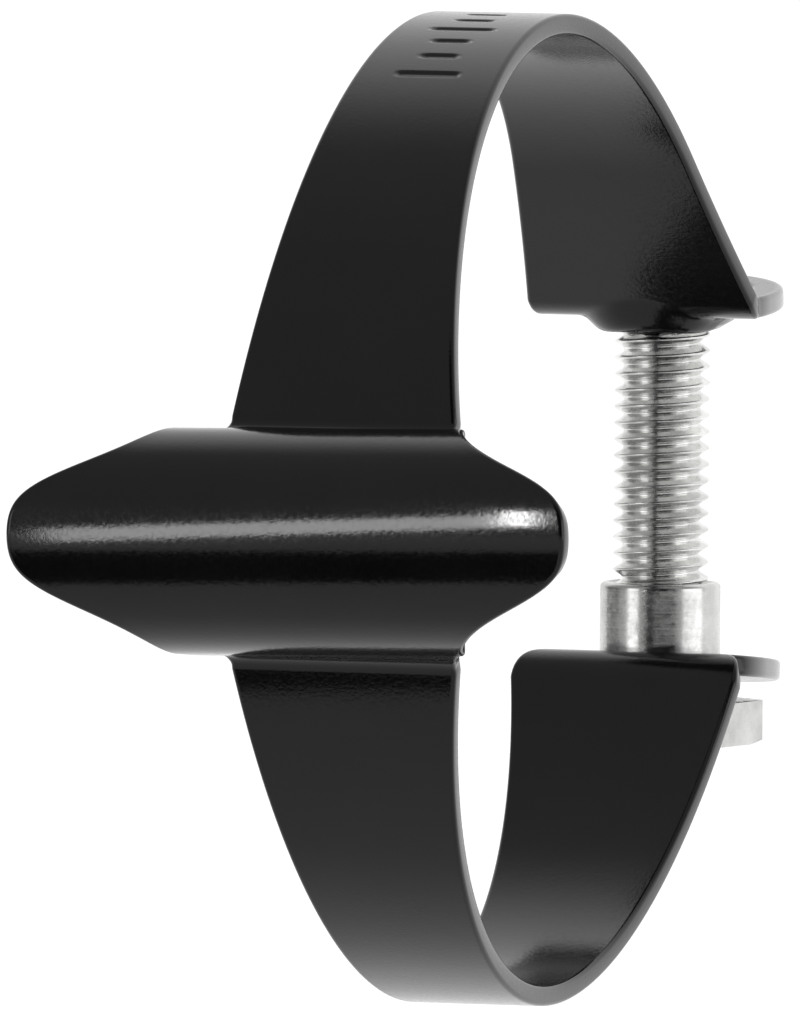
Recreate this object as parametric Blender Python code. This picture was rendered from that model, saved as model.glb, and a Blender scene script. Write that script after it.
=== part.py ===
"""Clamp-on cable guide for a 28.6 mm bicycle tube.

One stamped steel band wraps the tube. At the front the band bulges into an arched
channel, with a rounded tongue at each end, that holds a 5 mm cable housing against the
tube. At the back the band ends in two round ears. A countersunk M3 screw hangs in the
upper ear, and a hex-headed barrel nut comes up through the lower ear to meet it.

Frame: the origin is the centre of the tube bore, X runs along the tube, the channel is
at -Y, the ears are at +Y and the screw stands along Z with its head at +Z.
"""
import math

import bmesh
import bpy
from mathutils import Matrix

MM = 0.001

# Band: one sheet, described by its mid-surface in the YZ plane and a half width along X.
TUBE_RADIUS = 14.3 * MM
SHEET = 0.63 * MM
ARCH_CENTRE_Y = -16.75 * MM
ARCH_OUTER_RADIUS = 3.35 * MM
FOOT_BEND_RADIUS = 0.9 * MM
EAR_BEND_RADIUS = 1.0 * MM
EAR_GAP_HALF = 5.1 * MM
EAR_SPREAD = math.radians(6.0)
EAR_RADIUS = 3.7 * MM
TOP_HALF_WIDTH = 2.13 * MM
FRONT_HALF_WIDTH = 3.5 * MM
REAR_HALF_WIDTH = 3.62 * MM
FRONT_POWER = 2.1
REAR_POWER = 1.85

# The upper flank leaves the tube here, as an angle from the channel's direction, and runs
# straight to its ear. The lower flank stays on the tube, clear of the nut's hexagon.
UPPER_FLANK_ANGLE = math.radians(137.0)

# Tongues of the channel: a round nose that flows through hollow shoulders to the legs.
TONGUE_HALF_LENGTH = 8.65 * MM
SHOULDER_HALF_LENGTH = 4.3 * MM
SHOULDER_DISTANCE = 2.63 * MM
SHOULDER_POWER = 4.0
NOSE_ROUNDING = 0.2
FLARE_END = 0.8
FLARE_POWER = 1.3  # 1 is a straight taper; more rounds off its lower end

# The channel does not sit quite square on the band. Its feet lie a little low, and from
# there it leans up and twists, with its +X end high.
CHANNEL_DROP = math.radians(1.5)
CHANNEL_LEAN = 0.13
CHANNEL_TWIST = 0.019
LEAN_START = 14.5 * MM
TWIST_RUN = 1.5 * MM

# Screw: M3 x 12, 90 degree countersunk head, cross recess.
SCREW_Y = 16.8 * MM
SCREW_TOP = 5.9 * MM
SCREW_LENGTH = 12.0 * MM
HEAD_RADIUS = 2.5 * MM
HEAD_LAND = 0.12 * MM
NECK_RADIUS = 1.25 * MM
SCREW_CHAMFER = 0.3 * MM
RECESS_WIDTH = 0.6 * MM
RECESS_LENGTH = 2.7 * MM
RECESS_DEPTH = 1.1 * MM
RECESS_TAPER = 0.45

# Thread: right-handed, 60 degree flanks.
PITCH = 0.5 * MM
MAJOR_RADIUS = 1.475 * MM
THREAD_DEPTH = 0.295 * MM
CREST = 0.0625 * MM
THREAD_CLEARANCE = 0.05 * MM
CREST_CLEARANCE = 0.04 * MM
THREAD_SIDES = 20
THREAD_TOP = 4.6 * MM

# Barrel nut.
BARREL_RADIUS = 1.85 * MM
BARREL_TOP = -3.1 * MM
BARREL_CHAMFER = 0.2 * MM
HEX_ACROSS_FLATS = 5.5 * MM
HEX_TOP = -6.7 * MM
HEX_BOTTOM = -8.05 * MM
HEX_CHAMFER = 0.1 * MM
HEX_TURN = math.radians(18.0)

# Holes in the ears. The upper one is dimpled so that the head sits flush.
SEAT_CLEARANCE = 0.12 * MM
DIMPLE_TOP = 5.6 * MM
DIMPLE_BOTTOM = 4.85 * MM
DIMPLE_TOP_RADIUS = 2.7 * MM
DIMPLE_BOTTOM_RADIUS = 2.05 * MM
BARREL_HOLE_RADIUS = 1.95 * MM

ROUND_SIDES = 48
ARCH_STEPS = 26
LEG_STEPS = 3
FOOT_STEPS = 7
TUBE_STEPS = 40
FLANK_STEPS = 5
EAR_BEND_STEPS = 9
EAR_STEPS = 18

SCREW_ROOT_RADIUS = MAJOR_RADIUS - THREAD_DEPTH
SCREW_END = SCREW_TOP - SCREW_LENGTH
HEX_CIRCLE = HEX_ACROSS_FLATS / 2 / math.cos(math.pi / 6)


def clear_scene():
    for obj in list(bpy.data.objects):
        bpy.data.objects.remove(obj, do_unlink=True)


def make_material(name, colour, roughness, metallic):
    material = bpy.data.materials.new(name)
    material.use_nodes = True
    shader = material.node_tree.nodes["Principled BSDF"]
    shader.inputs["Base Color"].default_value = (*colour, 1.0)
    shader.inputs["Roughness"].default_value = roughness
    shader.inputs["Metallic"].default_value = metallic
    return material


def make_object(name, bm, material=None):
    bmesh.ops.recalc_face_normals(bm, faces=bm.faces)
    mesh = bpy.data.meshes.new(name)
    bm.to_mesh(mesh)
    bm.free()
    obj = bpy.data.objects.new(name, mesh)
    bpy.context.scene.collection.objects.link(obj)
    if material:
        mesh.materials.append(material)
        mesh.shade_smooth()
        mesh.set_sharp_from_angle(angle=math.radians(35))
    return obj


def make_cutter(name, bm, parent):
    cutter = make_object(name, bm)
    cutter.hide_render = True
    cutter.display_type = "WIRE"
    cutter.parent = parent
    return cutter


def add_boolean(obj, cutter, operation):
    modifier = obj.modifiers.new(cutter.name, "BOOLEAN")
    modifier.operation = operation
    modifier.solver = "EXACT"
    modifier.object = cutter


def turned(outline, sides=ROUND_SIDES, y=0.0):
    """Solid of revolution about Z from (radius, z) points, capped flat at both ends."""
    bm = bmesh.new()
    rings = []
    for radius, z in outline:
        ring = []
        for i in range(sides):
            angle = 2 * math.pi * i / sides
            ring.append(bm.verts.new((radius * math.cos(angle), y + radius * math.sin(angle), z)))
        rings.append(ring)
    for lower, upper in zip(rings, rings[1:]):
        for i in range(sides):
            j = (i + 1) % sides
            bm.faces.new((lower[i], lower[j], upper[j], upper[i]))
    bm.faces.new(rings[0])
    bm.faces.new(rings[-1])
    return bm


def arc_stations(y, z, heading, radius, turn, steps):
    """Stations (y, z, heading) along an arc; a positive turn bends to the left."""
    side = math.copysign(1.0, turn)
    centre_y = y - side * radius * math.sin(heading)
    centre_z = z + side * radius * math.cos(heading)
    stations = []
    for i in range(1, steps + 1):
        h = heading + turn * i / steps
        point_y = centre_y + side * radius * math.sin(h)
        point_z = centre_z - side * radius * math.cos(h)
        stations.append((point_y, point_z, h))
    return stations


def tongue_half_length(distance):
    """Half length of the channel along X, by the distance round its outside from the crown."""
    share = distance / SHOULDER_DISTANCE
    fall = 1 + NOSE_ROUNDING * share ** 2 + share ** SHOULDER_POWER
    return SHOULDER_HALF_LENGTH + (TONGUE_HALF_LENGTH - SHOULDER_HALF_LENGTH) / fall


def band_half_width(share, end_width, power):
    """Half width of the band, by the share of the way from the top of the tube to one end."""
    return TOP_HALF_WIDTH + (end_width - TOP_HALF_WIDTH) * share ** power


def ear_half_width(y):
    return math.sqrt(max(EAR_RADIUS ** 2 - (y - SCREW_Y) ** 2, 0.0))


# Where the bends touch the tube's circle, as angles from the channel's direction.
TUBE_MID = TUBE_RADIUS + SHEET / 2
ARCH_MID = ARCH_OUTER_RADIUS - SHEET / 2
FOOT_ANGLE = math.asin((ARCH_MID + FOOT_BEND_RADIUS) / (TUBE_MID + FOOT_BEND_RADIUS))
EAR_CENTRE_Z = EAR_GAP_HALF + SHEET / 2 + EAR_BEND_RADIUS
EAR_ANGLE = math.pi - math.asin(EAR_CENTRE_Z / (TUBE_MID + EAR_BEND_RADIUS))


def half_band(flank_angle):
    """Stations (y, z, heading, half width) from the channel's crown to an ear's tip.

    The flank leaves the tube's circle at flank_angle. At EAR_ANGLE it has no straight part.
    """
    stations = [(ARCH_CENTRE_Y - ARCH_MID, 0.0, math.pi / 2, tongue_half_length(0.0))]
    arch = arc_stations(ARCH_CENTRE_Y - ARCH_MID, 0.0, math.pi / 2, ARCH_MID, -math.pi / 2, ARCH_STEPS)
    for y, z, heading in arch:
        distance = (math.pi / 2 - heading) * ARCH_OUTER_RADIUS
        stations.append((y, z, heading, tongue_half_length(distance)))

    # The legs and the foot bends narrow from the shoulders to the band's front width.
    y, z, heading, shoulder = stations[-1]
    foot_y = -(TUBE_MID + FOOT_BEND_RADIUS) * math.cos(FOOT_ANGLE)
    foot_turn = math.pi / 2 - FOOT_ANGLE
    leg_length = foot_y - y
    flare_length = leg_length + FOOT_BEND_RADIUS * foot_turn * FLARE_END
    leg = [(y + leg_length * i / LEG_STEPS, z, heading) for i in range(1, LEG_STEPS + 1)]
    leg += arc_stations(foot_y, z, heading, FOOT_BEND_RADIUS, foot_turn, FOOT_STEPS)
    distances = [leg_length * i / LEG_STEPS for i in range(1, LEG_STEPS + 1)]
    distances += [leg_length + FOOT_BEND_RADIUS * foot_turn * i / FOOT_STEPS for i in range(1, FOOT_STEPS + 1)]
    for (y, z, heading), distance in zip(leg, distances):
        share = min(distance / flare_length, 1.0)
        ease = 1 - (1 - share) ** FLARE_POWER
        stations.append((y, z, heading, shoulder + (FRONT_HALF_WIDTH - shoulder) * ease))

    # Round the tube, then along the straight flank to the ear's bend.
    y, z, heading, _ = stations[-1]
    flank_z = EAR_CENTRE_Z - EAR_BEND_RADIUS * math.sin(flank_angle)
    flank_length = (TUBE_MID * math.sin(flank_angle) - flank_z) / -math.cos(flank_angle)
    rear_length = TUBE_MID * (flank_angle - math.pi / 2) + flank_length
    for y, z, heading in arc_stations(y, z, heading, TUBE_MID, FOOT_ANGLE - flank_angle, TUBE_STEPS):
        if heading > 0:
            half_width = band_half_width(heading / foot_turn, FRONT_HALF_WIDTH, FRONT_POWER)
        else:
            share = TUBE_MID * -heading / rear_length
            half_width = band_half_width(share, REAR_HALF_WIDTH, REAR_POWER)
        stations.append((y, z, heading, half_width))
    if flank_angle < EAR_ANGLE:
        start_y, start_z = y, z
        for i in range(1, FLANK_STEPS + 1):
            part = flank_length * i / FLANK_STEPS
            y, z = start_y + part * math.cos(heading), start_z + part * math.sin(heading)
            share = 1 - (flank_length - part) / rear_length
            stations.append((y, z, heading, band_half_width(share, REAR_HALF_WIDTH, REAR_POWER)))

    # Out into the ear: the corners are rounded off through the bend, down to the ear's disc.
    turn = EAR_SPREAD - heading
    bend = arc_stations(y, z, heading, EAR_BEND_RADIUS, turn, EAR_BEND_STEPS)
    neck = ear_half_width(bend[-1][0])
    for i, (y, z, heading) in enumerate(bend, start=1):
        corner = math.sqrt(1 - (i / EAR_BEND_STEPS) ** 2)
        stations.append((y, z, heading, neck + (REAR_HALF_WIDTH - neck) * corner))

    start_y, start_z = y, z
    first = math.asin((start_y - SCREW_Y) / EAR_RADIUS)
    for i in range(1, EAR_STEPS + 1):
        angle = first + (math.pi / 2 - first) * i / EAR_STEPS
        y = SCREW_Y + EAR_RADIUS * math.sin(angle)
        z = start_z + (y - start_y) * math.tan(EAR_SPREAD)
        stations.append((y, z, EAR_SPREAD, EAR_RADIUS * math.cos(angle)))
    return stations


def smooth(share):
    share = min(max(share, 0.0), 1.0)
    return share * share * (3 - 2 * share)


def settle(x, y, z):
    """Where a point of the square band lies once the channel has its drop, lean and twist."""
    if y > 0:
        return x, y, z
    angle = math.atan2(abs(z), -y)
    drop = CHANNEL_DROP * (1 - smooth((angle - FOOT_ANGLE) / (math.pi / 2 - FOOT_ANGLE)))
    y, z = y * math.cos(drop) - z * math.sin(drop), z * math.cos(drop) + y * math.sin(drop)
    beyond = max(-y - LEAN_START, 0.0)
    z += CHANNEL_LEAN * beyond + CHANNEL_TWIST * x * smooth(beyond / TWIST_RUN)
    return x, y, z


def build_band(material):
    upper = half_band(UPPER_FLANK_ANGLE)
    lower = half_band(EAR_ANGLE)
    stations = [(y, -z, math.pi - heading, width) for y, z, heading, width in lower[:0:-1]] + upper

    bm = bmesh.new()
    rows = []
    for y, z, heading, half_width in stations:
        offset_y = -math.sin(heading) * SHEET / 2
        offset_z = math.cos(heading) * SHEET / 2
        row = []
        for x, side in ((-half_width, 1), (half_width, 1), (half_width, -1), (-half_width, -1)):
            row.append(bm.verts.new(settle(x, y + side * offset_y, z + side * offset_z)))
        rows.append(row)
    for near, far in zip(rows, rows[1:]):
        for i in range(4):
            j = (i + 1) % 4
            bm.faces.new((near[i], near[j], far[j], far[i]))
    bm.faces.new(rows[0])
    bm.faces.new(rows[-1])
    bmesh.ops.remove_doubles(bm, verts=bm.verts, dist=0.001 * MM)
    band = make_object("clamp_band", bm, material)

    dimple = turned(
        [(DIMPLE_BOTTOM_RADIUS, DIMPLE_BOTTOM), (DIMPLE_TOP_RADIUS, DIMPLE_TOP)], y=SCREW_Y
    )
    bmesh.ops.rotate(
        dimple,
        verts=dimple.verts,
        cent=(0, SCREW_Y, DIMPLE_TOP),
        matrix=Matrix.Rotation(EAR_SPREAD, 3, "X"),
    )
    add_boolean(band, make_cutter("dimple_boss", dimple, band), "UNION")

    # The seat is the head's cone, opened out by the clearance.
    cone_base = SCREW_TOP - HEAD_LAND
    seat_radius = HEAD_RADIUS + SEAT_CLEARANCE
    hole_radius = MAJOR_RADIUS + SEAT_CLEARANCE
    seat = turned(
        [
            (hole_radius, DIMPLE_BOTTOM - 1 * MM),
            (hole_radius, cone_base - (seat_radius - hole_radius)),
            (seat_radius, cone_base),
            (seat_radius, SCREW_TOP + 1 * MM),
        ],
        y=SCREW_Y,
    )
    add_boolean(band, make_cutter("screw_seat", seat, band), "DIFFERENCE")

    barrel_hole = turned(
        [(BARREL_HOLE_RADIUS, -EAR_GAP_HALF - 2 * MM), (BARREL_HOLE_RADIUS, -EAR_GAP_HALF + 1 * MM)],
        y=SCREW_Y,
    )
    add_boolean(band, make_cutter("barrel_hole", barrel_hole, band), "DIFFERENCE")
    return band


def thread_mesh(major, root, crest, bottom, top):
    """Closed right-hand threaded rod about Z; its ends are rough and are trimmed later."""
    flank = (major - root) * math.tan(math.radians(30))
    profile = [
        (-crest / 2, major),
        (crest / 2, major),
        (crest / 2 + flank, root),
        (PITCH - crest / 2 - flank, root),
    ]
    first_turn = math.floor(bottom / PITCH) - 2
    last_turn = math.ceil(top / PITCH) + 2
    count = (last_turn - first_turn) * THREAD_SIDES

    bm = bmesh.new()
    rows = []
    for k in range(count + 1):
        angle = 2 * math.pi * k / THREAD_SIDES
        lift = PITCH * (first_turn + k / THREAD_SIDES)
        rows.append(
            [bm.verts.new((r * math.cos(angle), r * math.sin(angle), lift + z)) for z, r in profile]
        )
    for k in range(count):
        for j in range(3):
            bm.faces.new((rows[k][j], rows[k + 1][j], rows[k + 1][j + 1], rows[k][j + 1]))
    turn = THREAD_SIDES
    for k in range(count - turn):
        bm.faces.new((rows[k][3], rows[k + 1][3], rows[k + 1 + turn][0], rows[k + turn][0]))

    # Each end is one turn of helix, closed by a fan to a point on the axis.
    low_edge = [rows[k][0] for k in range(turn + 1)] + [rows[0][3], rows[0][2], rows[0][1]]
    high_edge = [rows[count - k][3] for k in range(turn + 1)] + [rows[count][j] for j in range(3)]
    for edge, z in ((low_edge, PITCH * (first_turn - 1)), (high_edge, PITCH * (last_turn + 2))):
        tip = bm.verts.new((0, 0, z))
        for i, vert in enumerate(edge):
            bm.faces.new((vert, edge[(i + 1) % len(edge)], tip))
    return bm


def build_screw(material):
    screw = make_object(
        "clamp_screw",
        thread_mesh(MAJOR_RADIUS, SCREW_ROOT_RADIUS, CREST, SCREW_END, THREAD_TOP),
        material,
    )
    screw.location.y = SCREW_Y

    envelope_radius = MAJOR_RADIUS + 1 * MM
    end_radius = SCREW_ROOT_RADIUS - 0.1 * MM
    chamfer_height = SCREW_END + SCREW_CHAMFER
    envelope = turned(
        [
            (end_radius, SCREW_END),
            (end_radius + SCREW_CHAMFER, chamfer_height),
            (envelope_radius, chamfer_height + (envelope_radius - end_radius - SCREW_CHAMFER)),
            (envelope_radius, THREAD_TOP),
        ]
    )
    add_boolean(screw, make_cutter("screw_envelope", envelope, screw), "INTERSECT")

    cone_base = SCREW_TOP - HEAD_LAND
    head = turned(
        [
            (NECK_RADIUS, THREAD_TOP - 0.3 * MM),
            (NECK_RADIUS, cone_base - (HEAD_RADIUS - NECK_RADIUS)),
            (HEAD_RADIUS, cone_base),
            (HEAD_RADIUS, SCREW_TOP),
        ]
    )
    add_boolean(screw, make_cutter("screw_head", head, screw), "UNION")

    for name, angle in (("recess_a", 0.0), ("recess_b", math.pi / 2)):
        slot = bmesh.new()
        bmesh.ops.create_cube(slot, size=1.0)
        for vert in slot.verts:
            grow = 1.0 if vert.co.z > 0 else RECESS_TAPER
            vert.co.x *= RECESS_LENGTH * grow
            vert.co.y *= RECESS_WIDTH * grow
            vert.co.z = SCREW_TOP + (0.02 * MM if vert.co.z > 0 else -RECESS_DEPTH)
        bmesh.ops.rotate(slot, verts=slot.verts, cent=(0, 0, 0), matrix=Matrix.Rotation(angle, 3, "Z"))
        add_boolean(screw, make_cutter(name, slot, screw), "DIFFERENCE")
    return screw


def hex_blank():
    """Hexagonal prism, turned a little so that no corner comes near the band."""
    bm = bmesh.new()
    rings = []
    for z in (HEX_BOTTOM, HEX_TOP):
        ring = []
        for i in range(6):
            angle = HEX_TURN + math.pi * i / 3
            ring.append(bm.verts.new((HEX_CIRCLE * math.cos(angle), HEX_CIRCLE * math.sin(angle), z)))
        rings.append(ring)
    for i in range(6):
        j = (i + 1) % 6
        bm.faces.new((rings[0][i], rings[0][j], rings[1][j], rings[1][i]))
    bm.faces.new(rings[0])
    bm.faces.new(rings[1])
    return bm


def build_nut(material):
    nut = make_object("barrel_nut", hex_blank(), material)
    nut.location.y = SCREW_Y

    # Chamfer the outer corners of the hexagon's lower face.
    flat_radius = HEX_ACROSS_FLATS / 2
    rim = turned(
        [
            (flat_radius - 0.05 * MM, HEX_BOTTOM),
            (flat_radius - 0.05 * MM + 2 * HEX_CHAMFER, HEX_BOTTOM + HEX_CHAMFER),
            (flat_radius + 1 * MM, HEX_BOTTOM + HEX_CHAMFER),
            (flat_radius + 1 * MM, HEX_TOP + 1 * MM),
        ]
    )
    add_boolean(nut, make_cutter("hex_rim", rim, nut), "INTERSECT")

    barrel = turned(
        [
            (BARREL_RADIUS, HEX_TOP - 0.5 * MM),
            (BARREL_RADIUS, BARREL_TOP - BARREL_CHAMFER),
            (BARREL_RADIUS - BARREL_CHAMFER, BARREL_TOP),
        ]
    )
    add_boolean(nut, make_cutter("barrel", barrel, nut), "UNION")

    tap = thread_mesh(
        MAJOR_RADIUS + THREAD_CLEARANCE,
        SCREW_ROOT_RADIUS + THREAD_CLEARANCE,
        CREST + CREST_CLEARANCE,
        HEX_BOTTOM,
        BARREL_TOP,
    )
    add_boolean(nut, make_cutter("thread_tap", tap, nut), "DIFFERENCE")
    return nut


def main():
    clear_scene()
    black_paint = make_material("black_paint", (0.012, 0.012, 0.013), 0.22, 0.0)
    bright_steel = make_material("bright_steel", (0.62, 0.62, 0.61), 0.18, 1.0)
    build_band(black_paint)
    build_screw(bright_steel)
    build_nut(bright_steel)


main()
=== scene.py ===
"""Looks for the clamp-on cable guide: the painted band, the screw and the barrel nut.

The band is made as it is in a press: a flat blank with rounded edges and two holes,
stamped with a few tick marks, is bent along its middle line. The upper ear is then
dimpled for the screw's head, and the channel is given its slight lean and twist. The
screw and the nut are turned on a lathe grid whose radius follows the thread.
"""
import math

import bmesh
import bpy
import numpy as np
from mathutils import Matrix, Vector


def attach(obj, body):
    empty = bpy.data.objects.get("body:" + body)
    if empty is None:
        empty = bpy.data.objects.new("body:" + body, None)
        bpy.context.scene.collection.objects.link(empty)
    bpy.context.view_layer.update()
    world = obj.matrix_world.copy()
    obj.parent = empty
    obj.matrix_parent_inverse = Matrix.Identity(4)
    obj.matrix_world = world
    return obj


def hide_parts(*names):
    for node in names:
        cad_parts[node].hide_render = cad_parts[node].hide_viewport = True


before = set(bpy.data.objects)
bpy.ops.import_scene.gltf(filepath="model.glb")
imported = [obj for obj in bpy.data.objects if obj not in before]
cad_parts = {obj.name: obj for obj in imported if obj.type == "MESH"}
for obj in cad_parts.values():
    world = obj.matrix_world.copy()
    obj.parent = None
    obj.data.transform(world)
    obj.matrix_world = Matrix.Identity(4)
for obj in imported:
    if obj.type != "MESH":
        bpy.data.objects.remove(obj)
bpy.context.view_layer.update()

MM = 0.001

# Sizes of the CAD band in millimetres, repeated here because the looks rebuild its sheet.
TUBE_RADIUS = 14.3
SHEET = 0.63
ARCH_CENTRE_Y = -16.75
ARCH_OUTER_RADIUS = 3.35
FOOT_BEND_RADIUS = 0.9
EAR_BEND_RADIUS = 1.0
EAR_GAP_HALF = 5.1
EAR_SPREAD = math.radians(6.0)
EAR_RADIUS = 3.7
TOP_HALF_WIDTH = 2.13
FRONT_HALF_WIDTH = 3.5
REAR_HALF_WIDTH = 3.62
FRONT_POWER = 2.1
REAR_POWER = 1.85
UPPER_FLANK_ANGLE = math.radians(137.0)
TONGUE_HALF_LENGTH = 8.65
SHOULDER_HALF_LENGTH = 4.3
SHOULDER_DISTANCE = 2.63
SHOULDER_POWER = 4.0
NOSE_ROUNDING = 0.2
FLARE_END = 0.8
FLARE_POWER = 1.3
CHANNEL_DROP = math.radians(1.5)
CHANNEL_LEAN = 0.13
CHANNEL_TWIST = 0.019
LEAN_START = 14.5
TWIST_RUN = 1.5

# Screw, thread and nut, as in the CAD.
SCREW_Y = 16.8
SCREW_TOP = 5.9
SCREW_END = -6.1
HEAD_RADIUS = 2.5
HEAD_LAND = 0.12
NECK_RADIUS = 1.25
PITCH = 0.5
MAJOR_RADIUS = 1.475
ROOT_RADIUS = 1.18
CREST = 0.0625
THREAD_TOP = 4.6
BARREL_RADIUS = 1.85
BARREL_TOP = -3.1
HEX_HALF_FLATS = 2.75
HEX_TOP = -6.7
HEX_BOTTOM = -8.05
HEX_TURN = math.radians(18.0)
NUT_CLEARANCE = 0.05

# Cross recess of the screw: reach and half width of its arms, depth, and the floor's scale.
RECESS_REACH = 1.35
RECESS_HALF = 0.3
RECESS_DEPTH = 1.1
RECESS_TAPER = 0.45

# Seat of the screw's head and the hole for the barrel. The seat's hole has a slightly
# larger radius than the CAD's 1.595, and DIMPLE_INNER and DIMPLE_OUTER bound the boss's wall.
CONE_BASE = SCREW_TOP - HEAD_LAND
SEAT_RADIUS = 2.62
SEAT_HOLE_RADIUS = 1.75
SEAT_FADE = 0.2
DIMPLE_DEPTH = 0.5
DIMPLE_INNER = 1.9
DIMPLE_OUTER = 2.6
BARREL_HOLE_RADIUS = 1.95

# Rounding of the sheet's edges under the paint. Edges nearer a hole's centre than
# HOLE_REACH are the hole's own.
EDGE_ROUND = 0.13
HOLE_ROUND = 0.06
HOLE_REACH = EAR_RADIUS * 0.7
EDGE_SUPPORT = 0.03
ROUND_STEPS = 4

TUBE_MID = TUBE_RADIUS + SHEET / 2
ARCH_MID = ARCH_OUTER_RADIUS - SHEET / 2
FOOT_ANGLE = math.asin((ARCH_MID + FOOT_BEND_RADIUS) / (TUBE_MID + FOOT_BEND_RADIUS))
EAR_CENTRE_Z = EAR_GAP_HALF + SHEET / 2 + EAR_BEND_RADIUS
EAR_ANGLE = math.pi - math.asin(EAR_CENTRE_Z / (TUBE_MID + EAR_BEND_RADIUS))


# --- camera, lights and floor -------------------------------------------------------

# Angles in degrees, lengths in metres.
CAMERA_AZIMUTH = 18.05
CAMERA_ELEVATION = 3.2
CAMERA_ROLL = 0.5
CAMERA_DISTANCE = 0.85
CAMERA_LEFT = 0.0028
CAMERA_UP = 0.0001
WIDTH_SEEN = 0.02408
SENSOR_WIDTH = 36.0

# The world's strength in front of the part and behind it, and where it changes.
WORLD_FRONT = 0.38
WORLD_BACK = 1.1
WORLD_CHANGE = (0.05, 0.6)

# The floor glows behind the part; the glow grows between these two values of Y.
FLOOR_Z = -0.10
FLOOR_HALF = 1.5
FLOOR_SHADE = 0.94
FLOOR_GLOW = 0.55
GLOW_RANGE = (-0.02, 0.08)

# The softboxes and the two large flags stand this far from the part's origin. The
# channel's cards stand in the direction GLEAM_AZIMUTH from its crown.
STUDIO_RADIUS = 1.0
GLEAM_AZIMUTH = -18.5


def direction(azimuth, elevation):
    """Unit vector; azimuth 0 is -Y, the channel's side, and grows towards +X."""
    a, e = math.radians(azimuth), math.radians(elevation)
    return Vector((math.sin(a) * math.cos(e), -math.cos(a) * math.cos(e), math.sin(e)))


def add_camera():
    """A long lens, a little above the part and turned towards the channel's +X end."""
    back = direction(CAMERA_AZIMUTH, CAMERA_ELEVATION)
    right = direction(CAMERA_AZIMUTH + 90, 0.0)
    up = back.cross(right)
    roll = math.radians(CAMERA_ROLL)
    screen_right = math.cos(roll) * right + math.sin(roll) * up
    screen_up = math.cos(roll) * up - math.sin(roll) * right

    data = bpy.data.cameras.new("camera")
    data.sensor_fit = "HORIZONTAL"
    data.sensor_width = SENSOR_WIDTH
    data.lens = SENSOR_WIDTH * CAMERA_DISTANCE / WIDTH_SEEN
    data.clip_start = 0.01
    data.clip_end = 50.0
    camera = bpy.data.objects.new("camera", data)
    bpy.context.scene.collection.objects.link(camera)
    place = back * CAMERA_DISTANCE - screen_right * CAMERA_LEFT + screen_up * CAMERA_UP
    turned = Matrix((screen_right, screen_up, back)).transposed().to_4x4()
    camera.matrix_world = Matrix.Translation(place) @ turned
    bpy.context.scene.camera = camera


def add_softbox(name, azimuth, size, power):
    light = bpy.data.lights.new(name, "AREA")
    light.shape = "RECTANGLE"
    light.size, light.size_y = size
    light.energy = power
    lamp = bpy.data.objects.new(name, light)
    bpy.context.scene.collection.objects.link(lamp)
    place = direction(azimuth, 0)
    lamp.location = place * STUDIO_RADIUS
    lamp.rotation_euler = place.to_track_quat("Z", "Y").to_euler()
    lamp.visible_camera = False


def emission_material(name, shade):
    material = bpy.data.materials.new(name)
    material.use_nodes = True
    nodes, links = material.node_tree.nodes, material.node_tree.links
    nodes.clear()
    emission = nodes.new("ShaderNodeEmission")
    emission.inputs["Color"].default_value = (shade, shade, shade, 1.0)
    output = nodes.new("ShaderNodeOutputMaterial")
    links.new(emission.outputs["Emission"], output.inputs["Surface"])
    return material


def add_card(name, location, facing, size, shade, slope=0.0):
    """A plain card that only reflections see; facing points away from the part."""
    bm = bmesh.new()
    bmesh.ops.create_grid(bm, x_segments=1, y_segments=1, size=0.5)
    for vert in bm.verts:
        vert.co.x *= size[0]
        vert.co.y = vert.co.y * size[1] + vert.co.x * slope
    mesh = bpy.data.meshes.new(name)
    bm.to_mesh(mesh)
    bm.free()
    mesh.materials.append(emission_material(name, shade))
    card = bpy.data.objects.new(name, mesh)
    bpy.context.scene.collection.objects.link(card)
    card.location = location
    card.rotation_euler = facing.to_track_quat("Z", "Y").to_euler()
    card.visible_camera = False
    card.visible_shadow = False
    card.visible_diffuse = False


def add_flag(name, azimuth, elevation, distance, size, shade):
    place = direction(azimuth, elevation)
    add_card(name, place * distance, place, size, shade)


def add_channel_card(name, along, elevation, distance, size, shade, slope=0.0):
    """A card in front of the channel, set where the camera sees its gleam at x = along."""
    away = direction(GLEAM_AZIMUTH, elevation)
    place = Vector((along, ARCH_CENTRE_Y - ARCH_OUTER_RADIUS, 0.0)) * MM + away * distance
    add_card(name, place, direction(0, elevation), size, shade, slope)


def add_world():
    """White studio: bright behind the part, dimmer on the camera's side."""
    world = bpy.data.worlds.new("studio")
    bpy.context.scene.world = world
    world.use_nodes = True
    tree = world.node_tree
    background = tree.nodes["Background"]
    coords = tree.nodes.new("ShaderNodeTexCoord")
    split = tree.nodes.new("ShaderNodeSeparateXYZ")
    tree.links.new(coords.outputs["Generated"], split.inputs[0])
    strength = remap(tree, split.outputs["Y"], *WORLD_CHANGE, WORLD_FRONT, WORLD_BACK)
    strength.node.interpolation_type = "SMOOTHSTEP"
    # Seen directly the backdrop is white all round; reflections and light see the ramp.
    path = tree.nodes.new("ShaderNodeLightPath")
    seen = tree.nodes.new("ShaderNodeMath")
    seen.operation = "MAXIMUM"
    tree.links.new(path.outputs["Is Camera Ray"], seen.inputs[0])
    tree.links.new(strength, seen.inputs[1])
    tree.links.new(seen.outputs["Value"], background.inputs["Strength"])
    background.inputs["Color"].default_value = (1.0, 1.0, 1.0, 1.0)


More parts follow.
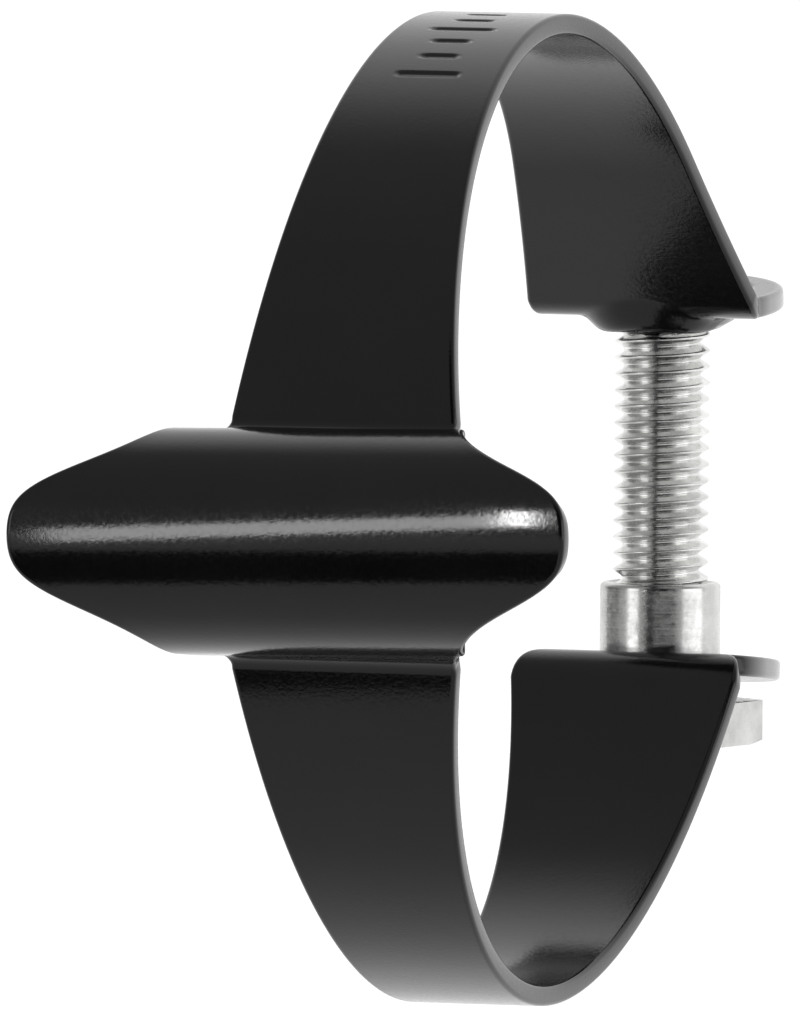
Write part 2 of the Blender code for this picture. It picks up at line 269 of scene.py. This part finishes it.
def add_floor():
    """A matt floor. Behind the part it also glows, towards the backdrop's white."""
    bm = bmesh.new()
    bmesh.ops.create_grid(bm, x_segments=1, y_segments=1, size=FLOOR_HALF)
    mesh = bpy.data.meshes.new("floor")
    bm.to_mesh(mesh)
    bm.free()
    floor = bpy.data.objects.new("floor", mesh)
    bpy.context.scene.collection.objects.link(floor)
    floor.location.z = FLOOR_Z
    material = bpy.data.materials.new("floor_white")
    material.use_nodes = True
    tree = material.node_tree
    shader = tree.nodes["Principled BSDF"]
    shader.inputs["Base Color"].default_value = (FLOOR_SHADE, FLOOR_SHADE, FLOOR_SHADE, 1.0)
    shader.inputs["Roughness"].default_value = 0.9
    shader.inputs["Specular IOR Level"].default_value = 0.0
    shader.inputs["Emission Color"].default_value = (1.0, 1.0, 1.0, 1.0)
    split = tree.nodes.new("ShaderNodeSeparateXYZ")
    tree.links.new(object_coords(tree), split.inputs[0])
    glow = remap(tree, split.outputs["Y"], *GLOW_RANGE, 0.0, FLOOR_GLOW)
    tree.links.new(glow, shader.inputs["Emission Strength"])
    mesh.materials.append(material)


def add_studio():
    bpy.context.scene.view_settings.view_transform = "Standard"
    add_world()
    add_floor()
    # Boxes and cards that shape the bright metal: light, dark, light from left to right.
    add_softbox("left_box", azimuth=-37, size=(0.4, 0.7), power=1.4)
    add_softbox("right_box", azimuth=84, size=(0.8, 0.7), power=2.4)
    add_flag("front_flag", 18, 0, STUDIO_RADIUS, size=(1.16, 1.9), shade=0.02)
    add_flag("left_flag", -88, 0, STUDIO_RADIUS, size=(0.7, 0.6), shade=0.2)
    # The channel's gleam, the spark at its end and the dark band below it.
    add_channel_card("strip", 0.15, 4, 0.012, size=(0.0155, 0.0031), shade=8.0, slope=0.3)
    add_channel_card("spark", 7.2, 17, 0.0115, size=(0.0004, 0.0034), shade=90.0)
    add_flag("low_flag", -14, -22.6, 0.0465, size=(0.034, 0.0165), shade=0.0)


# --- the band's blank ---------------------------------------------------------------


# Steps of the middle line, and how far it runs on past the ear's tip.
PATH_STEP = 0.01
PATH_OVERRUN = 0.5


def path_table(flank_angle):
    """Middle line from the channel's crown to one ear's tip, drawn for the upper half.

    Returns the distances, the rows (y, z, heading) and the distances of the landmarks.
    """
    rows = [(ARCH_CENTRE_Y - ARCH_MID, 0.0, math.pi / 2)]
    distance = [0.0]

    def run(length, turn):
        y, z, heading = rows[-1]
        start = distance[-1]
        count = max(2, int(length / PATH_STEP)) if length > 0 else 0
        for i in range(1, count + 1):
            part = length * i / count
            if turn == 0.0:
                rows.append((y + part * math.cos(heading), z + part * math.sin(heading), heading))
            else:
                h = heading + turn * i / count
                radius = length / turn
                across = radius * (math.sin(h) - math.sin(heading))
                rise = radius * (math.cos(h) - math.cos(heading))
                rows.append((y + across, z - rise, h))
            distance.append(start + part)
        return distance[-1]

    marks = {}
    marks["arch_end"] = run(ARCH_MID * math.pi / 2, -math.pi / 2)
    foot_y = -(TUBE_MID + FOOT_BEND_RADIUS) * math.cos(FOOT_ANGLE)
    foot_turn = math.pi / 2 - FOOT_ANGLE
    marks["leg_end"] = run(foot_y - rows[-1][0], 0.0)
    marks["flare_end"] = marks["leg_end"] + FOOT_BEND_RADIUS * foot_turn * FLARE_END
    marks["foot_end"] = run(FOOT_BEND_RADIUS * foot_turn, foot_turn)
    marks["top"] = marks["foot_end"] + TUBE_MID * foot_turn
    run(TUBE_MID * (flank_angle - FOOT_ANGLE), FOOT_ANGLE - flank_angle)
    flank_z = EAR_CENTRE_Z - EAR_BEND_RADIUS * math.sin(flank_angle)
    flank_length = (TUBE_MID * math.sin(flank_angle) - flank_z) / -math.cos(flank_angle)
    marks["flank_end"] = run(flank_length if flank_angle < EAR_ANGLE else 0.0, 0.0)
    ear_turn = EAR_SPREAD - rows[-1][2]
    marks["ear_start"] = run(EAR_BEND_RADIUS * ear_turn, ear_turn)
    to_axis = (SCREW_Y - rows[-1][0]) / math.cos(EAR_SPREAD)
    marks["ear_centre"] = distance[-1] + to_axis
    run(to_axis + EAR_RADIUS + PATH_OVERRUN, 0.0)
    return np.array(distance), np.array(rows), marks


# The upper half of the band is side 1, the lower half side -1.
PATHS = {1: path_table(UPPER_FLANK_ANGLE), -1: path_table(EAR_ANGLE)}


def marks_of(side):
    return PATHS[side][2]


def bend_blank(points):
    """Bends blank points (s, x, n) round the path; s < 0 is the lower half."""
    s, x, n = points.T
    bent = np.zeros_like(points)
    for side, (distance, rows, _) in PATHS.items():
        mine = s >= 0 if side > 0 else s < 0
        y, z, heading = (np.interp(np.abs(s[mine]), distance, column) for column in rows.T)
        y = y - n[mine] * np.sin(heading)
        z = z + n[mine] * np.cos(heading)
        bent[mine] = np.stack([x[mine], y, side * z], axis=1)
    return bent


def tongue_half_length(distance):
    share = distance / SHOULDER_DISTANCE
    fall = 1 + NOSE_ROUNDING * share ** 2 + share ** SHOULDER_POWER
    return SHOULDER_HALF_LENGTH + (TONGUE_HALF_LENGTH - SHOULDER_HALF_LENGTH) / fall


def half_width(s, side):
    """Half width of the blank at the distance s from the channel's crown."""
    marks = marks_of(side)
    if s <= marks["arch_end"]:
        return tongue_half_length(s * ARCH_OUTER_RADIUS / ARCH_MID)
    if s <= marks["foot_end"]:
        shoulder = tongue_half_length(ARCH_OUTER_RADIUS * math.pi / 2)
        share = min((s - marks["arch_end"]) / (marks["flare_end"] - marks["arch_end"]), 1.0)
        return shoulder + (FRONT_HALF_WIDTH - shoulder) * (1 - (1 - share) ** FLARE_POWER)
    if s <= marks["top"]:
        share = (marks["top"] - s) / (marks["top"] - marks["foot_end"])
        return TOP_HALF_WIDTH + (FRONT_HALF_WIDTH - TOP_HALF_WIDTH) * share ** FRONT_POWER
    if s <= marks["flank_end"]:
        share = (s - marks["top"]) / (marks["flank_end"] - marks["top"])
        return TOP_HALF_WIDTH + (REAR_HALF_WIDTH - TOP_HALF_WIDTH) * share ** REAR_POWER
    neck = math.sqrt(EAR_RADIUS ** 2 - (marks["ear_centre"] - marks["ear_start"]) ** 2)
    share = min((s - marks["flank_end"]) / (marks["ear_start"] - marks["flank_end"]), 1.0)
    return neck + (REAR_HALF_WIDTH - neck) * math.sqrt(1 - share ** 2)


# Tick marks pressed into the outside, near the top on the channel's side.
TICK_COUNT = 6
TICK_PITCH = 1.15
TICK_LONG = 0.95
TICK_SHORT = 0.55
TICK_HALF_WIDTH = 0.13
TICK_DEPTH = 0.07
TICK_WALL = 0.06
TICKS_END = marks_of(1)["top"] - 0.4
TICKS_START = TICKS_END - TICK_COUNT * TICK_PITCH

# Distance between the blank's rows: on plain stretches, round the channel, in the ear's
# bend, which starts BEND_MARGIN early, and across the ticks.
PLAIN_ROW = 0.2
CHANNEL_ROW = 0.08
BEND_ROW = 0.06
BEND_MARGIN = 0.3
TICK_ROW = 0.05


def strip_stations(side):
    """Distances along one half where the blank has a row of vertices."""
    marks = marks_of(side)
    spans = [
        (0.0, marks["arch_end"], CHANNEL_ROW),
        (marks["arch_end"], marks["foot_end"], CHANNEL_ROW),
        (marks["foot_end"], TICKS_START, PLAIN_ROW),
        (TICKS_START, TICKS_END, TICK_ROW if side > 0 else PLAIN_ROW),
        (TICKS_END, marks["flank_end"] - BEND_MARGIN, PLAIN_ROW),
        (marks["flank_end"] - BEND_MARGIN, marks["ear_start"], BEND_ROW),
    ]
    stations = [0.0]
    for start, end, step in spans:
        count = math.ceil((end - start) / step)
        stations += [start + (end - start) * i / count for i in range(1, count + 1)]
    return stations


def smooth_step(value, low, high):
    t = np.clip((value - low) / (high - low), 0.0, 1.0)
    return t * t * (3 - 2 * t)


def tick_depth(s, x):
    """Depth of the pressed ticks at blank points, every third one long."""
    depth = np.zeros_like(s)
    for i in range(TICK_COUNT):
        centre = TICKS_START + TICK_PITCH * (i + 0.5)
        reach = TICK_LONG if i % 3 == 0 else TICK_SHORT
        along = np.maximum(np.abs(x) - (reach - TICK_HALF_WIDTH), 0.0)
        away = np.hypot(s - centre, along)
        wall = smooth_step(away, TICK_HALF_WIDTH - TICK_WALL, TICK_HALF_WIDTH + TICK_WALL)
        depth = np.maximum(depth, TICK_DEPTH * (1 - wall))
    return depth


# Columns across the strip, whose last but one lies at EDGE_COLUMN of the half width, and
# the ear's patch: points round its rim, and its rings as shares from the hole outwards.
COLUMNS = 40
EDGE_COLUMN = 0.92
EAR_ARC_COUNT = 64
EAR_RINGS = (0.24, 0.34, 0.42, 0.48, 0.53, 0.57, 0.63, 0.7, 0.79, 0.88)


def flat_blank():
    """Vertices (s, x) and quads of the blank: the strip and a polar patch at each ear.

    The seat's hole reaches past the end of the upper ear's bend, so for 0.42 mm at its front
    the patch folds back over the strip.
    """
    points, faces = [], []
    inner = [EDGE_COLUMN * (2 * i / (COLUMNS - 2) - 1) for i in range(COLUMNS - 1)]
    shares = [-1.0] + inner + [1.0]

    stations = [-s for s in strip_stations(-1)[:0:-1]] + strip_stations(1)
    rows = []
    for s in stations:
        width = half_width(abs(s), 1 if s >= 0 else -1)
        start = len(points)
        points.extend((s, share * width) for share in shares)
        rows.append(list(range(start, start + len(shares))))
    for near, far in zip(rows, rows[1:]):
        for i in range(len(shares) - 1):
            faces.append((near[i], far[i], far[i + 1], near[i + 1]))

    for side, chord, hole in ((1, rows[-1], SEAT_HOLE_RADIUS), (-1, rows[0], BARREL_HOLE_RADIUS)):
        marks = marks_of(side)
        centre = side * marks["ear_centre"]
        neck = points[chord[-1]][1]
        open_angle = math.atan2(neck, marks["ear_centre"] - marks["ear_start"])
        rim = list(chord)
        for i in range(1, EAR_ARC_COUNT):
            angle = open_angle + (2 * math.pi - 2 * open_angle) * i / EAR_ARC_COUNT
            along = centre - side * EAR_RADIUS * math.cos(angle)
            rim.append(len(points))
            points.append((along, EAR_RADIUS * math.sin(angle)))
        outer = rim
        for share in reversed((0.0,) + EAR_RINGS):
            ring = []
            for index in rim:
                ds, dx = points[index][0] - centre, points[index][1]
                reach = math.hypot(ds, dx)
                radius = hole + (reach - hole) * share
                ring.append(len(points))
                points.append((centre + ds / reach * radius, dx / reach * radius))
            for i in range(len(rim)):
                j = (i + 1) % len(rim)
                quad = (outer[i], outer[j], ring[j], ring[i])
                faces.append(quad[::-1] if side > 0 else quad)
            outer = ring
    return np.array(points), faces


def boundary_of(points, faces):
    """Boundary vertices with their outward direction, and the boundary edges in face order."""
    edges = {}
    for face in faces:
        for i, a in enumerate(face):
            b = face[(i + 1) % len(face)]
            if (b, a) in edges:
                del edges[(b, a)]
            else:
                edges[(a, b)] = True
    outward = {}
    for a, b in edges:
        ds, dx = points[b] - points[a]
        length = math.hypot(ds, dx)
        for index in (a, b):
            outward.setdefault(index, np.zeros(2))
            outward[index] += np.array((dx, -ds)) / length
    for index, vector in outward.items():
        outward[index] = vector / np.linalg.norm(vector)
    return outward, list(edges)


def rounded_sheet(points, faces):
    """Gives the blank its thickness, with rounded edges; returns (s, x, n) points and faces."""
    outward, edges = boundary_of(points, faces)
    count = len(points)
    solid = np.zeros((2 * count, 3))
    solid[:count, :2] = points
    solid[count:, :2] = points
    solid[:count, 2] = SHEET / 2
    solid[count:, 2] = -SHEET / 2
    all_faces = [face[::-1] for face in faces]
    all_faces += [tuple(index + count for index in face) for face in faces]

    extra = []
    chains = {}
    for index, vector in outward.items():
        s, x = points[index]
        centre = marks_of(1 if s >= 0 else -1)["ear_centre"]
        at_hole = math.hypot(abs(s) - centre, x) < HOLE_REACH
        radius = HOLE_ROUND if at_hole else EDGE_ROUND
        solid[index, :2] -= vector * (radius + EDGE_SUPPORT)
        solid[index + count, :2] -= vector * (radius + EDGE_SUPPORT)
        chain = [index]
        for sign in (1, -1):
            angles = [90 - 90 * i / ROUND_STEPS for i in range(ROUND_STEPS + 1)]
            if sign < 0:
                angles.reverse()
            for degrees in angles:
                angle = math.radians(degrees)
                inset = radius * (math.cos(angle) - 1)
                height = sign * (SHEET / 2 - radius + radius * math.sin(angle))
                chain.append(2 * count + len(extra))
                extra.append((s + vector[0] * inset, x + vector[1] * inset, height))
        chain.append(index + count)
        chains[index] = chain
    for a, b in edges:
        for i in range(len(chains[a]) - 1):
            all_faces.append((chains[a][i], chains[a][i + 1], chains[b][i + 1], chains[b][i]))
    return np.vstack([solid, np.array(extra)]), all_faces


# Only the sheet within this height of the ear's inner face is pressed.
SEAT_REACH = 3.0


def press_seat(points, heights):
    """Dimples the upper ear round the screw: a cone for the head above, a low boss below."""
    x, y, z = points.T
    radius = np.hypot(x, y - SCREW_Y)
    near = (z > 0) & (radius < SEAT_RADIUS + 2 * SEAT_FADE) & (z < EAR_GAP_HALF + SEAT_REACH)
    top_share = heights / SHEET + 0.5
    cone = CONE_BASE - (SEAT_RADIUS - radius)
    fade = 1 - smooth_step(radius, SEAT_RADIUS, SEAT_RADIUS + SEAT_FADE)
    seat_drop = np.maximum(z - cone, 0.0) * fade
    boss_drop = DIMPLE_DEPTH * (1 - smooth_step(radius, DIMPLE_INNER, DIMPLE_OUTER))
    drop = top_share * seat_drop + (1 - top_share) * boss_drop
    return np.stack([x, y, np.where(near, z - drop, z)], axis=1)


def make_piece(name, points, faces, material):
    mesh = bpy.data.meshes.new(name)
    mesh.from_pydata([tuple(p) for p in np.asarray(points) * MM], [], faces)
    mesh.validate()
    bm = bmesh.new()
    bm.from_mesh(mesh)
    bmesh.ops.recalc_face_normals(bm, faces=bm.faces)
    bm.to_mesh(mesh)
    bm.free()
    mesh.materials.append(material)
    mesh.shade_smooth()
    piece = bpy.data.objects.new(name, mesh)
    bpy.context.scene.collection.objects.link(piece)
    return piece


def settle(points):
    """Gives the channel its drop, lean and twist, as in the CAD."""
    x, y, z = points.T
    angle = np.arctan2(np.abs(z), -y)
    drop = CHANNEL_DROP * (1 - smooth_step(angle, FOOT_ANGLE, math.pi / 2))
    y, z = y * np.cos(drop) - z * np.sin(drop), z * np.cos(drop) + y * np.sin(drop)
    beyond = np.maximum(-y - LEAN_START, 0.0)
    z = z + CHANNEL_LEAN * beyond + CHANNEL_TWIST * x * smooth_step(beyond, 0.0, TWIST_RUN)
    return np.stack([x, y, z], axis=1)


def make_band(material):
    blank, faces = flat_blank()
    sheet, faces = rounded_sheet(blank, faces)
    outside = sheet[:, 2] > SHEET / 2 - 1e-6
    heights = sheet[:, 2].copy()
    sheet[:, 2] -= np.where(outside, tick_depth(sheet[:, 0], sheet[:, 1]), 0.0)
    points = settle(press_seat(bend_blank(sheet), heights))
    return make_piece("painted_band", points, faces, material)


# --- screw and nut ------------------------------------------------------------------

TURNED_SIDES = 72
THREAD_ROW = 0.02
TAP_ROW = 0.025

# Softness of the thread's crests and roots, and the screw's tip and run-out.
THREAD_SOFT = 0.02
TIP_INSET = 0.1
RUN_OUT_SLOPE = 1.5

# Hexagon: the chamfer on its lower corners, its rounded edges, and the rings over each.
CHAMFER_HEIGHT = 0.12
CHAMFER_RADIUS = 2.85
CHAMFER_SLOPE = 2.8
CHAMFER_STEPS = 6
HEX_EDGE = 0.04
HEX_EDGE_INSET = 0.03
HEX_EDGE_STEPS = 4

# Barrel: the fillet at its foot, the rows up its wall, and the lead-ins of its thread.
BARREL_FILLET = 0.06
BARREL_ROWS = 40
TAP_INSET = 0.05
LEAD_IN = 0.06


def thread_radius(angle, z, clearance=0.0):
    """Radius of the right-hand thread, with its crests and roots a little rounded."""
    share = np.mod(z / PITCH - angle / (2 * math.pi), 1.0)
    away = np.minimum(share, 1 - share) * PITCH
    major, root = MAJOR_RADIUS + clearance, ROOT_RADIUS + clearance
    flank = major - (away - CREST / 2 - clearance * 0.4) / math.tan(math.radians(30))
    high = (flank + major) / 2 - np.sqrt(((flank - major) / 2) ** 2 + THREAD_SOFT ** 2)
    return (high + root) / 2 + np.sqrt(((high - root) / 2) ** 2 + THREAD_SOFT ** 2)


def turned_piece(name, angles, rings, material, closed=False):
    """Skins rings of (radius, z) arrays round the screw's axis; caps the ends or joins them."""
    points, faces = [], []
    for radius, z in rings:
        radius = np.broadcast_to(radius, angles.shape)
        for r, a in zip(radius, angles):
            points.append((r * math.cos(a), SCREW_Y + r * math.sin(a), z))
    count = len(rings)
    for k in range(count if closed else count - 1):
        low, high = k * TURNED_SIDES, ((k + 1) % count) * TURNED_SIDES
        for i in range(TURNED_SIDES):
            j = (i + 1) % TURNED_SIDES
            faces.append((low + i, low + j, high + j, high + i))
    if not closed:
        for start, z in ((0, rings[0][1]), ((count - 1) * TURNED_SIDES, rings[-1][1])):
            points.append((0.0, SCREW_Y, z))
            for i in range(TURNED_SIDES):
                faces.append((start + i, start + (i + 1) % TURNED_SIDES, len(points) - 1))
    return make_piece(name, points, faces, material)


def make_screw(material):
    angles = 2 * np.pi * np.arange(TURNED_SIDES) / TURNED_SIDES
    end_radius = ROOT_RADIUS - TIP_INSET
    rings = [(end_radius * 0.5, SCREW_END), (end_radius, SCREW_END)]
    rows = int(round((CONE_BASE - SCREW_END) / THREAD_ROW))
    for i in range(1, rows + 1):
        z = SCREW_END + (CONE_BASE - SCREW_END) * i / rows
        run_in = end_radius + (z - SCREW_END)
        run_out = NECK_RADIUS + max(THREAD_TOP + 0.1 - z, 0.0) * RUN_OUT_SLOPE
        radius = np.minimum(thread_radius(angles, z), min(run_in, run_out))
        rings.append((np.maximum(radius, HEAD_RADIUS - (CONE_BASE - z)), z))
    rings += [
        (HEAD_RADIUS, SCREW_TOP - 0.05),
        (HEAD_RADIUS - 0.02, SCREW_TOP - 0.015),
        (HEAD_RADIUS - 0.06, SCREW_TOP),
        (HEAD_RADIUS - 0.5, SCREW_TOP),
        (HEAD_RADIUS - 1.1, SCREW_TOP),
    ]
    screw = turned_piece("clamp_screw_m3", angles, rings, material)
    cut_recess(screw)
    screw.data.set_sharp_from_angle(angle=math.radians(38))
    return screw


def cut_recess(screw):
    """Cross recess: a cross-shaped pocket that tapers towards its floor."""
    arm = ((RECESS_HALF, RECESS_HALF), (RECESS_REACH, RECESS_HALF), (RECESS_REACH, -RECESS_HALF))
    outline = []
    for k in range(4):
        turn = Matrix.Rotation(k * math.pi / 2, 2)
        outline += [turn @ Vector(corner) for corner in arm]
    outline.sort(key=lambda p: math.atan2(p.y, p.x))
    bm = bmesh.new()
    rings = []
    for z, scale in ((SCREW_TOP + 0.05, 1.0), (SCREW_TOP - RECESS_DEPTH, RECESS_TAPER)):
        corners = [Vector((p.x * scale, SCREW_Y + p.y * scale, z)) * MM for p in outline]
        rings.append([bm.verts.new(corner) for corner in corners])
    for i in range(len(outline)):
        j = (i + 1) % len(outline)
        bm.faces.new((rings[0][i], rings[0][j], rings[1][j], rings[1][i]))
    bm.faces.new(rings[0])
    bm.faces.new(rings[1])
    bmesh.ops.recalc_face_normals(bm, faces=bm.faces)
    mesh = bpy.data.meshes.new("recess")
    bm.to_mesh(mesh)
    bm.free()
    cutter = bpy.data.objects.new("recess", mesh)
    bpy.context.scene.collection.objects.link(cutter)
    modifier = screw.modifiers.new("recess", "BOOLEAN")
    modifier.operation = "DIFFERENCE"
    modifier.object = cutter
    bpy.context.view_layer.update()
    evaluated = screw.evaluated_get(bpy.context.evaluated_depsgraph_get())
    cut = bpy.data.meshes.new_from_object(evaluated)
    screw.modifiers.clear()
    screw.data = cut
    bpy.data.objects.remove(cutter)


def make_nut(material):
    angles = HEX_TURN + 2 * np.pi * np.arange(TURNED_SIDES) / TURNED_SIDES
    sector = np.mod(angles - HEX_TURN, math.pi / 3) - math.pi / 6
    hexagon = HEX_HALF_FLATS / np.cos(sector)
    hole = MAJOR_RADIUS + NUT_CLEARANCE

    # Hexagon: lower face, a light chamfer on its corners, flats, and the upper face.
    rings = [(hole + 0.12, HEX_BOTTOM), (2.0, HEX_BOTTOM), (2.45, HEX_BOTTOM)]
    for i in range(CHAMFER_STEPS + 1):
        lift = CHAMFER_HEIGHT * i / CHAMFER_STEPS
        flats = hexagon - HEX_EDGE_INSET * (1 - i / CHAMFER_STEPS) ** 2
        rings.append((np.minimum(flats, CHAMFER_RADIUS + lift * CHAMFER_SLOPE), HEX_BOTTOM + lift))
    for i in range(HEX_EDGE_STEPS + 1):
        share = i / HEX_EDGE_STEPS
        rings.append((hexagon - HEX_EDGE_INSET * share ** 2, HEX_TOP - HEX_EDGE * (1 - share)))

    # Barrel: fillet, wall, rounded top edge, and the face round the thread.
    rings += [
        (2.4, HEX_TOP),
        (BARREL_RADIUS + BARREL_FILLET, HEX_TOP),
        (BARREL_RADIUS, HEX_TOP + BARREL_FILLET),
    ]
    low, high = HEX_TOP + 0.1, BARREL_TOP - 0.12
    for i in range(BARREL_ROWS + 1):
        rings.append((BARREL_RADIUS, low + (high - low) * i / BARREL_ROWS))
    rings += [
        (BARREL_RADIUS - 0.03, BARREL_TOP - 0.06),
        (BARREL_RADIUS - 0.1, BARREL_TOP - 0.015),
        (BARREL_RADIUS - 0.14, BARREL_TOP),
        (hole + 0.08, BARREL_TOP),
    ]

    # Thread, from the barrel's top down, opened out towards both ends.
    length = BARREL_TOP - HEX_BOTTOM - 2 * TAP_INSET
    rows = int(length / TAP_ROW)
    for i in range(rows + 1):
        z = BARREL_TOP - TAP_INSET - length * i / rows
        ends = min(BARREL_TOP - z, z - HEX_BOTTOM)
        lead_in = hole + LEAD_IN - (ends - TAP_INSET)
        rings.append((np.maximum(thread_radius(angles, z, NUT_CLEARANCE), lead_in), z))
    nut = turned_piece("hex_barrel_nut", angles, rings, material, closed=True)
    nut.data.set_sharp_from_angle(angle=math.radians(32))
    return nut


# --- materials ----------------------------------------------------------------------


def object_coords(tree):
    coords = tree.nodes.new("ShaderNodeTexCoord")
    return coords.outputs["Object"]


def noise(tree, vector, scale, detail=3.0, roughness=0.55):
    node = tree.nodes.new("ShaderNodeTexNoise")
    node.inputs["Scale"].default_value = scale
    node.inputs["Detail"].default_value = detail
    node.inputs["Roughness"].default_value = roughness
    tree.links.new(vector, node.inputs["Vector"])
    return node.outputs["Fac"]


def remap(tree, value, low, high, to_low, to_high):
    node = tree.nodes.new("ShaderNodeMapRange")
    node.inputs["From Min"].default_value = low
    node.inputs["From Max"].default_value = high
    node.inputs["To Min"].default_value = to_low
    node.inputs["To Max"].default_value = to_high
    tree.links.new(value, node.inputs["Value"])
    return node.outputs["Result"]


def two_tones(tree, value, dark, light):
    """Colour that goes from dark to light as the value goes from 0.3 to 0.75."""
    ramp = tree.nodes.new("ShaderNodeValToRGB")
    for element, position, colour in zip(ramp.color_ramp.elements, (0.3, 0.75), (dark, light)):
        element.position = position
        element.color = (*colour, 1.0)
    tree.links.new(value, ramp.inputs["Fac"])
    return ramp.outputs["Color"]


def vector_math(tree, operation, vector, other=None):
    node = tree.nodes.new("ShaderNodeVectorMath")
    node.operation = operation
    if other is not None:
        node.inputs[1].default_value = other
    tree.links.new(vector, node.inputs[0])
    return node.outputs


def add_bump(tree, shader, height, strength, distance, previous=None):
    bump = tree.nodes.new("ShaderNodeBump")
    bump.inputs["Strength"].default_value = strength
    bump.inputs["Distance"].default_value = distance
    tree.links.new(height, bump.inputs["Height"])
    if previous is not None:
        tree.links.new(previous, bump.inputs["Normal"])
    tree.links.new(bump.outputs["Normal"], shader.inputs["Normal"])
    return bump.outputs["Normal"]


def black_paint():
    """Gloss black stove enamel: fine grain, slight orange peel, a little uneven in gloss."""
    material = bpy.data.materials.new("black_enamel")
    material.use_nodes = True
    tree = material.node_tree
    shader = tree.nodes["Principled BSDF"]
    shader.inputs["IOR"].default_value = 1.45
    place = object_coords(tree)

    cloud = noise(tree, place, 350.0, 4.0)
    black = two_tones(tree, cloud, (0.0035, 0.0035, 0.0037), (0.006, 0.006, 0.0062))

    # Painted reflection: round the rims of the ears the colour is mixed towards pale grey, as if
    # they caught the bright backdrop at a grazing angle.
    offset = vector_math(tree, "SUBTRACT", place, (0.0, SCREW_Y * MM, 0.0))["Vector"]
    flat = vector_math(tree, "MULTIPLY", offset, (1.0, 1.0, 0.0))["Vector"]
    radius = vector_math(tree, "LENGTH", flat)["Value"]
    split = tree.nodes.new("ShaderNodeSeparateXYZ")
    tree.links.new(place, split.inputs[0])
    rim = remap(tree, radius, 3.4 * MM, 3.65 * MM, 0.0, 1.0)
    on_ear = remap(tree, split.outputs["Y"], 15.0 * MM, 16.2 * MM, 0.0, 1.0)
    both = tree.nodes.new("ShaderNodeMath")
    both.operation = "MULTIPLY"
    tree.links.new(rim, both.inputs[0])
    tree.links.new(on_ear, both.inputs[1])
    # The pale grey below is painted sheen, not the paint's own colour.
    painted_rim_sheen = tree.nodes.new("ShaderNodeMix")
    painted_rim_sheen.data_type = "RGBA"
    tree.links.new(both.outputs["Value"], painted_rim_sheen.inputs["Factor"])
    tree.links.new(black, painted_rim_sheen.inputs["A"])
    painted_rim_sheen.inputs["B"].default_value = (0.42, 0.42, 0.42, 1.0)
    tree.links.new(painted_rim_sheen.outputs["Result"], shader.inputs["Base Color"])

    grain = noise(tree, place, 9000.0, 2.0)
    gloss = remap(tree, grain, 0.3, 0.7, 0.1, 0.2)
    tree.links.new(gloss, shader.inputs["Roughness"])

    peel = noise(tree, place, 1400.0, 2.0)
    first = add_bump(tree, shader, peel, 0.25, 0.00001)
    add_bump(tree, shader, grain, 0.5, 0.000006, first)
    return material


# The plating's blue, as a share of its red and green.
WARMTH = 0.985


def plated_steel(name, dark, light):
    """Bright zinc plate: fine turning lines round the axis and a faintly mottled gloss."""
    material = bpy.data.materials.new(name)
    material.use_nodes = True
    tree = material.node_tree
    shader = tree.nodes["Principled BSDF"]
    shader.inputs["Metallic"].default_value = 1.0
    place = object_coords(tree)

    cloud = noise(tree, place, 900.0, 4.0)
    shades = [(value, value, value * WARMTH) for value in (dark, light)]
    tree.links.new(two_tones(tree, cloud, *shades), shader.inputs["Base Color"])

    grain = noise(tree, place, 5000.0, 3.0)
    gloss = remap(tree, grain, 0.3, 0.7, 0.14, 0.3)
    tree.links.new(gloss, shader.inputs["Roughness"])

    stretch = tree.nodes.new("ShaderNodeMapping")
    stretch.inputs["Scale"].default_value = (60.0, 60.0, 9000.0)
    tree.links.new(place, stretch.inputs["Vector"])
    lines = noise(tree, stretch.outputs["Vector"], 1.0, 2.0)
    first = add_bump(tree, shader, lines, 0.25, 0.000006)
    add_bump(tree, shader, grain, 0.25, 0.000005, first)
    return material


# --- build --------------------------------------------------------------------------


def dress(piece, body, node):
    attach(piece, body)
    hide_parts(node)


def main():
    add_camera()
    add_studio()
    enamel = black_paint()
    screw_plate = plated_steel("screw_plate", 0.58, 0.9)
    nut_plate = plated_steel("nut_plate", 0.46, 0.7)
    dress(make_band(enamel), "band", "clamp_band")
    dress(make_screw(screw_plate), "screw", "clamp_screw")
    dress(make_nut(nut_plate), "nut", "barrel_nut")


main()
